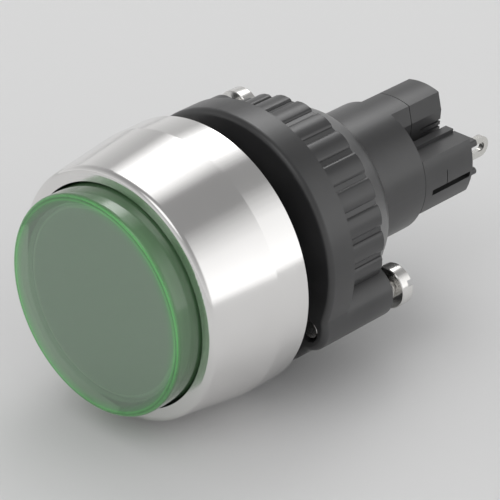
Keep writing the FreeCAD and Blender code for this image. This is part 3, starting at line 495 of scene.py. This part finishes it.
def diffuser_white():
    """Cloudy plastic, with a ring of painted highlight round the rim of its front."""
    finish = Finish("diffuser_white", IOR=1.46)
    cloud = finish.math("MULTIPLY", finish.noise(120.0, detail=2.0), DIFFUSER_MOTTLE)
    front = finish.math("LESS_THAN", finish.coordinates()[1], DIFFUSER_RIM_END * MM)
    # The grey by radius paints a highlight ring round the front's rim
    grey = finish.by_radius(finish.math("MULTIPLY", finish.radius(), front), DIFFUSER_GREYS_AND_PAINTED_ARC)
    finish.drive("Base Color", finish.math("ADD", grey, cloud))
    finish.drive("Roughness", finish.ramp(finish.noise(4000.0), 0.5, 0.62))
    return finish.material


def seal_rubber():
    """Dull black rubber."""
    finish = Finish("seal_rubber", IOR=1.52)
    grain = finish.noise(5000.0)
    finish.drive("Base Color", finish.ramp(grain, (0.016, 0.016, 0.017), (0.026, 0.026, 0.027)))
    finish.drive("Roughness", finish.ramp(grain, 0.68, 0.82))
    finish.bump(grain, strength=0.2, distance=0.00002)
    return finish.material


def black_plastic():
    """Moulded black plastic with a faint grain."""
    finish = Finish("black_plastic", IOR=1.65)
    grain = finish.noise(7000.0, detail=3.0, roughness=0.6)
    cloud = finish.noise(140.0, detail=3.0)
    finish.drive("Base Color", finish.ramp(cloud, (0.026, 0.026, 0.027), (0.038, 0.038, 0.039)))
    finish.drive("Roughness", finish.ramp(grain, 0.28, 0.36))
    finish.bump(grain, strength=0.05, distance=0.00002)
    return finish.material


def lamp_glass():
    """Clear glass of the bulb and its bead."""
    finish = Finish("lamp_glass", Transmission_Weight=1.0, IOR=1.5)
    cloud = finish.noise(300.0, detail=2.0)
    finish.drive("Base Color", finish.ramp(cloud, (0.95, 0.97, 0.96), (0.99, 1.0, 0.99)))
    finish.drive("Roughness", finish.ramp(cloud, 0.01, 0.03))
    finish.let_lamps_through(tint=(0.95, 0.95, 0.95))
    return finish.material


def lamp_insulator():
    """Black glass of the lamp's insulator."""
    finish = Finish("lamp_insulator", IOR=1.55)
    cloud = finish.noise(900.0, detail=3.0)
    finish.drive("Base Color", finish.ramp(cloud, (0.010, 0.010, 0.014), (0.022, 0.022, 0.030)))
    finish.drive("Roughness", finish.ramp(cloud, 0.12, 0.22))
    return finish.material


def plain_metal(name, dark, light, smoothest, roughest):
    """Make a plated or bare metal with faint tarnish and fine scratches."""
    finish = Finish(name, Metallic=1.0)
    cloud = finish.noise(700.0, detail=3.0)
    grain = finish.noise(6000.0, detail=3.0)
    finish.drive("Base Color", finish.ramp(cloud, dark, light))
    finish.drive("Roughness", finish.ramp(grain, smoothest, roughest))
    finish.bump(grain, strength=0.03, distance=0.00001)
    return finish.material


def floor_finish():
    """Plain pale floor, very faintly clouded."""
    finish = Finish("floor", IOR=1.3)
    cloud = finish.noise(3.0, detail=2.0)
    darker = (FLOOR_GREY - FLOOR_MOTTLE,) * 3
    lighter = (FLOOR_GREY + FLOOR_MOTTLE,) * 3
    finish.drive("Base Color", finish.ramp(cloud, darker, lighter))
    finish.drive("Roughness", finish.ramp(cloud, 0.72, 0.78))
    return finish.material


def make_finishes():
    """Make the material of each material slot in the record."""
    made = {
        "bezel_metal": bezel_metal(),
        "green_lens": green_lens(),
        "diffuser_white": diffuser_white(),
        "seal_rubber": seal_rubber(),
        "black_plastic": black_plastic(),
        "lamp_glass": lamp_glass(),
        "lamp_insulator": lamp_insulator(),
    }
    for name, look in METALS.items():
        made[name] = plain_metal(name, *look)
    return made


def dress_nodes(finishes):
    """Give each CAD node the finish that its material slot in the record names."""
    slot_of = {part["node"]: part["material_slot"] for part in frame["record"]["subparts"]}
    for name, node in frame["nodes"].items():
        node.data.materials.clear()
        node.data.materials.append(finishes[slot_of[name]])


def add_floor():
    """Lay a floor under the object's lowest point."""
    height = cad_bounds[0].z
    corners = [(-FLOOR_HALF, -FLOOR_HALF, height), (FLOOR_HALF, -FLOOR_HALF, height),
               (FLOOR_HALF, FLOOR_HALF, height), (-FLOOR_HALF, FLOOR_HALF, height)]
    mesh = bpy.data.meshes.new("floor")
    mesh.from_pydata(corners, [], [(0, 1, 2, 3)])
    floor = bpy.data.objects.new("floor", mesh)
    bpy.context.collection.objects.link(floor)
    floor.data.materials.append(floor_finish())


def mesh_object(name, points, faces, material, smooth=True):
    """Make an object from points in millimetres."""
    mesh = bpy.data.meshes.new(name)
    mesh.from_pydata([tuple(MM * value for value in point) for point in points], [], faces)
    mesh.polygons.foreach_set("use_smooth", [smooth] * len(mesh.polygons))
    mesh.materials.append(material)
    mesh.update()
    made = bpy.data.objects.new(name, mesh)
    bpy.context.collection.objects.link(made)
    return made


def land_drop(station, across):
    """Say how far a point of the nut moves inwards so that its land is rounded over.

    across is where the point lies seen along the axis, its X and Z.
    """
    height = across.length - (LAND_RADIUS - GROOVE_DEPTH)
    if not LAND_FRONT - NUT_TOLERANCE < station < LAND_REAR + NUT_TOLERANCE:
        return 0.0
    if not 0.0 < height < GROOVE_DEPTH + NUT_TOLERANCE:
        return 0.0
    lug_turn = math.radians(LUG_ANGLE_DEG)
    lug = LUG_CIRCLE * Vector((math.cos(lug_turn), -math.sin(lug_turn)))
    if min((across - lug).length, (across + lug).length) < LUG_RADIUS + NUT_TOLERANCE:
        return 0.0
    pitch = math.tau / GROOVE_COUNT
    half_land = (pitch - GROOVE_WIDTH / LAND_RADIUS) / 2
    groove = -math.radians(LUG_ANGLE_DEG + GROOVE_ANGLE_DEG)
    from_groove = (math.atan2(across.y, across.x) - groove) % pitch
    aside = min(1.0, abs(from_groove - pitch / 2) / half_land)
    return LAND_CROWN * aside ** 2 * height / GROOVE_DEPTH


def add_crowned_nut(material):
    """Put a copy of the nut, its lands rounded over towards their grooves, in its place."""
    shape = bmesh.new()
    shape.from_mesh(frame["nodes"]["fixing_nut"].data)
    bmesh.ops.remove_doubles(shape, verts=shape.verts, dist=NUT_MERGE * MM)
    for vertex in shape.verts:
        across = Vector((vertex.co.x, vertex.co.z)) / MM
        kept = 1 - land_drop(vertex.co.y / MM, across) / across.length
        vertex.co.x *= kept
        vertex.co.z *= kept
    shape.verts.index_update()
    points = [tuple(vertex.co / MM) for vertex in shape.verts]
    faces = [[vertex.index for vertex in face.verts] for face in shape.faces]
    shape.free()
    nut = mesh_object("crowned_nut", points, faces, material)
    nut.data.set_sharp_from_angle(angle=math.radians(NUT_SHARP_DEG))
    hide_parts("fixing_nut")
    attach(nut, "nut")


def skin(rows, count, rows_close, row_closes):
    """Make the faces between rows of points.

    rows_close says that the last row joins the first, and row_closes that each row is a ring.
    """
    faces = []
    for row in range(rows if rows_close else rows - 1):
        here = row * count
        there = (row + 1) % rows * count
        for step in range(count if row_closes else count - 1):
            following = (step + 1) % count
            faces.append((here + step, here + following, there + following, there + step))
    return faces


def turned_points(outline_at, columns):
    """Give the points of a round form from its outline, radii with stations, at each angle."""
    points = []
    for column in range(columns):
        angle = math.tau * column / columns
        points += [(radius * math.cos(angle), station, radius * math.sin(angle))
                   for radius, station in outline_at(angle)]
    return points


def thread_drop(station, angle, pitch, depth):
    """Say how far a right-handed thread lies below its crest at a station and an angle."""
    phase = (station / pitch + angle / math.tau) % 1.0
    past_crest = abs(phase - 0.5) * pitch - pitch * CREST_SHARE / 2
    slope_length = pitch * (1 - CREST_SHARE - ROOT_SHARE) / 2
    return depth * min(1.0, max(0.0, past_crest / slope_length))


def barrel_outline(angle):
    """Give the barrel's closed outline, through the bore, over collar and flange, along the thread."""
    groove_front = COLLAR_FRONT + SEAL_SETBACK - SEAL_GROOVE_HALF
    groove_rear = COLLAR_FRONT + SEAL_SETBACK + SEAL_GROOVE_HALF
    flange_rear = FLANGE_FRONT + FLANGE_THICKNESS
    outline = [
        (BARREL_BORE, BARREL_END),
        (BARREL_BORE, COLLAR_FRONT + BARREL_EDGE),
        (BARREL_BORE + BARREL_EDGE, COLLAR_FRONT),
        (COLLAR_RADIUS - BARREL_EDGE, COLLAR_FRONT),
        (COLLAR_RADIUS, COLLAR_FRONT + BARREL_EDGE),
        (COLLAR_RADIUS, groove_front),
        (SEAL_GROOVE_RADIUS, groove_front),
        (SEAL_GROOVE_RADIUS, groove_rear),
        (COLLAR_RADIUS, groove_rear),
        (COLLAR_RADIUS, FLANGE_FRONT),
        (FLANGE_RADIUS, FLANGE_FRONT),
        (FLANGE_RADIUS, flange_rear),
        (THREAD_RADIUS, flange_rear),
        (THREAD_RADIUS, THREAD_START),
    ]
    length = BARREL_END - THREAD_START
    steps = round(length / THREAD_STEP)
    for step in range(1, steps + 1):
        station = THREAD_START + length * step / steps
        run_in = min(1.0, (station - THREAD_START) / THREAD_PITCH)
        drop = thread_drop(station, angle, THREAD_PITCH, THREAD_DEPTH) * run_in
        end_chamfer = station - BARREL_END + BARREL_CHAMFER
        outline.append((THREAD_RADIUS - max(drop, end_chamfer), station))
    return outline


def add_threaded_barrel(material):
    """Put the barrel with its thread in place of the plain one."""
    points = turned_points(barrel_outline, BARREL_COLUMNS)
    count = len(points) // BARREL_COLUMNS
    faces = skin(BARREL_COLUMNS, count, rows_close=True, row_closes=True)
    barrel = mesh_object("threaded_barrel", points, faces, material)
    barrel.data.set_sharp_from_angle(angle=math.radians(BARREL_SHARP_DEG))
    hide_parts("barrel")
    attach(barrel, "front")


def screw_outline(angle):
    """Give a clamp screw's outline, from the tip along the thread to the head's rounded edge."""
    outline = [(SCREW_RADIUS - SCREW_POINT, SCREW_TIP)]
    length = HEAD_FRONT - SCREW_TIP
    steps = round(length / SCREW_STEP)
    for step in range(steps):
        station = SCREW_TIP + length * (step + 0.5) / steps
        drop = thread_drop(station, angle, SCREW_PITCH, SCREW_DEPTH)
        tip_chamfer = SCREW_POINT - (station - SCREW_TIP)
        outline.append((SCREW_RADIUS - max(drop, tip_chamfer), station))
    outline += [
        (SCREW_RADIUS, HEAD_FRONT),
        (HEAD_RADIUS - HEAD_CHAMFER, HEAD_FRONT),
        (HEAD_RADIUS, HEAD_FRONT + HEAD_CHAMFER),
    ]
    for step in range(HEAD_EDGE_STEPS + 1):
        turned = math.radians(90 * step / HEAD_EDGE_STEPS)
        outline.append((HEAD_RADIUS - HEAD_EDGE * (1 - math.cos(turned)),
                        HEAD_REAR - HEAD_EDGE * (1 - math.sin(turned))))
    return outline


def cut_slot(screw, material):
    """Cut the slot into a clamp screw's head."""
    half = SLOT_WIDTH / 2
    reach = SLOT_CUTTER_HALF
    corners = [(x, y, z) for y in (HEAD_REAR - SLOT_DEPTH, HEAD_REAR + SLOT_CUTTER_MARGIN)
               for x, z in ((-reach, -half), (reach, -half), (reach, half), (-reach, half))]
    sides = [(0, 1, 2, 3), (7, 6, 5, 4), (0, 4, 5, 1), (1, 5, 6, 2), (2, 6, 7, 3), (3, 7, 4, 0)]
    cutter = mesh_object("slot_cutter", corners, sides, material, smooth=False)
    cut = screw.modifiers.new("slot", "BOOLEAN")
    cut.operation = "DIFFERENCE"
    cut.solver = "EXACT"
    cut.object = cutter
    shown = screw.evaluated_get(bpy.context.evaluated_depsgraph_get())
    slotted = bpy.data.meshes.new_from_object(shown)
    screw.modifiers.clear()
    screw.data = slotted
    bpy.data.objects.remove(cutter)


def add_threaded_screw(name, body, side, material):
    """Put a clamp screw with its thread and slot in place of the plain one.

    side is 1 for the right lug and -1 for the left one.
    """
    points = turned_points(screw_outline, SCREW_COLUMNS)
    count = len(points) // SCREW_COLUMNS
    faces = skin(SCREW_COLUMNS, count, rows_close=True, row_closes=False)
    tip = [column * count for column in range(SCREW_COLUMNS)]
    faces.append(tip)
    faces.append([start + count - 1 for start in reversed(tip)])
    screw = mesh_object("threaded_" + name, points, faces, material)
    cut_slot(screw, material)

    turn = Matrix.Rotation(math.radians(-SLOT_ANGLE_DEG), 4, "Y")
    lug = math.radians(LUG_ANGLE_DEG)
    reach = side * SCREW_CIRCLE * MM
    middle = Matrix.Translation((reach * math.cos(lug), 0.0, -reach * math.sin(lug)))
    screw.data.transform(middle @ turn)
    screw.data.set_sharp_from_angle(angle=math.radians(SCREW_SHARP_DEG))
    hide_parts(name)
    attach(screw, body)


def tube(points, radius, sides):
    """Make the points and faces of a closed tube along a path."""
    path = [Vector(point) for point in points]
    vertices = []
    side = None
    for index, place in enumerate(path):
        along = (path[min(index + 1, len(path) - 1)] - path[max(index - 1, 0)]).normalized()
        if side is None:
            side = along.orthogonal().normalized()
        side = (side - along * side.dot(along)).normalized()
        other = along.cross(side)
        for step in range(sides):
            turn = math.tau * step / sides
            spoke = math.cos(turn) * side + math.sin(turn) * other
            vertices.append(tuple(place + radius * spoke))
    faces = skin(len(path), sides, rows_close=False, row_closes=True)
    first_ring = list(range(sides))
    faces.append(first_ring[::-1])
    faces.append([(len(path) - 1) * sides + step for step in first_ring])
    return vertices, faces


def add_filament(metal, glass):
    """Stand the lamp's lead wires, the bead that holds them and the coiled filament in its bulb."""
    for side, name in ((-1, "left"), (1, "right")):
        lead = [(side * across, station, 0.0) for across, station in LEAD_POINTS]
        wire = mesh_object("lamp_lead_" + name, *tube(lead, LEAD_WIRE_RADIUS, LEAD_SIDES), metal)
        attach(wire, "lamp")

    ends = [(-BEAD_HALF, BEAD_STATION, 0.0), (BEAD_HALF, BEAD_STATION, 0.0)]
    bead = mesh_object("lamp_bead", *tube(ends, BEAD_RADIUS, BEAD_SIDES), glass)
    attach(bead, "lamp")

    coil = []
    steps = FILAMENT_STEPS * FILAMENT_TURNS
    for step in range(steps + 1):
        angle = math.tau * step / FILAMENT_STEPS
        share = 2 * step / steps - 1
        middle = FILAMENT_STATION - FILAMENT_SAG * (1 - share ** 2)
        coil.append((FILAMENT_HALF * share, middle + FILAMENT_RADIUS * math.sin(angle),
                     FILAMENT_RADIUS * math.cos(angle)))
    form = tube(coil, FILAMENT_WIRE_RADIUS, FILAMENT_SIDES)
    filament = mesh_object("lamp_filament", *form, metal)
    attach(filament, "lamp")


def add_contact_spring(material):
    """Put a coil between the plunger and the contact plate in place of the solid one."""
    first = PLUNGER_REAR + SPRING_WIRE_RADIUS
    length = CONTACT_PLATE - PLUNGER_REAR - 2 * SPRING_WIRE_RADIUS
    steps = SPRING_TURNS * SPRING_STEPS
    coil = []
    for step in range(steps + 1):
        angle = math.tau * step / SPRING_STEPS
        coil.append((SPRING_RADIUS * math.cos(angle), first + length * step / steps,
                     SPRING_RADIUS * math.sin(angle)))
    form = tube(coil, SPRING_WIRE_RADIUS, SPRING_SIDES)
    spring = mesh_object("coiled_spring", *form, material)
    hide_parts("contact_spring")
    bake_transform(spring)


bpy.context.scene.view_settings.view_transform = "Standard"
add_camera()
add_world()
for softbox in SOFTBOXES:
    add_softbox(*softbox)
add_floor()
finishes = make_finishes()
dress_nodes(finishes)
add_crowned_nut(finishes["black_plastic"])
add_threaded_barrel(finishes["black_plastic"])
add_threaded_screw("clamp_screw_lower", "screw_lower", 1, finishes["plated_steel"])
add_threaded_screw("clamp_screw_upper", "screw_upper", -1, finishes["plated_steel"])
add_filament(finishes["lamp_metal"], finishes["lamp_glass"])
add_contact_spring(finishes["spring_steel"])
